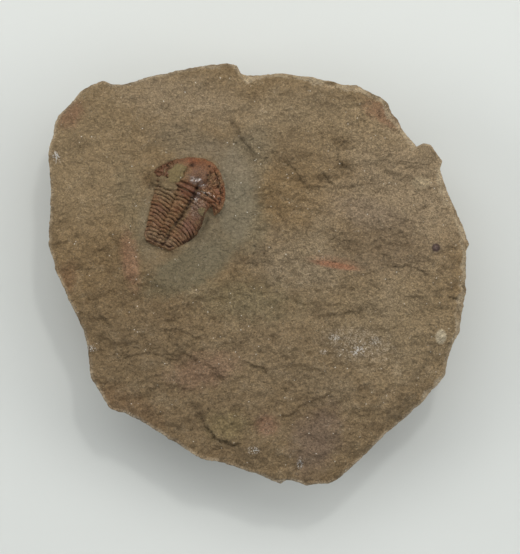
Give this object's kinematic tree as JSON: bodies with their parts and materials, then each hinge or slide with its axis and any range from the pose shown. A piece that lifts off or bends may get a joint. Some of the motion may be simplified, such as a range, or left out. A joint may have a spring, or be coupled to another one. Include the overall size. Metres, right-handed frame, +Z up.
{
  "type": "trilobite fossil",
  "caption": "Fossil of a trilobite with a domed head and a ribbed body, set in a shallow scraped hollow on the flat upper face of a broken slab of brown layered stone.",
  "frame": {"origin": "centre of the slab's footprint, on the flat underside that it rests on", "axes": "+Z up out of the face with the fossil; the slab lies flat in XY; the head of the fossil points about 24 degrees clockwise of +Y"},
  "size_m": [0.1054, 0.106, 0.0262],
  "materials": {
    "siltstone": "rough, sandy, dull",
    "fossil_shell": "mineralised, half-gloss on the crests"
  },
  "bodies": {
    "root": {"rock_matrix": "siltstone", "trilobite": "fossil_shell"}
  },
  "joints": []
}
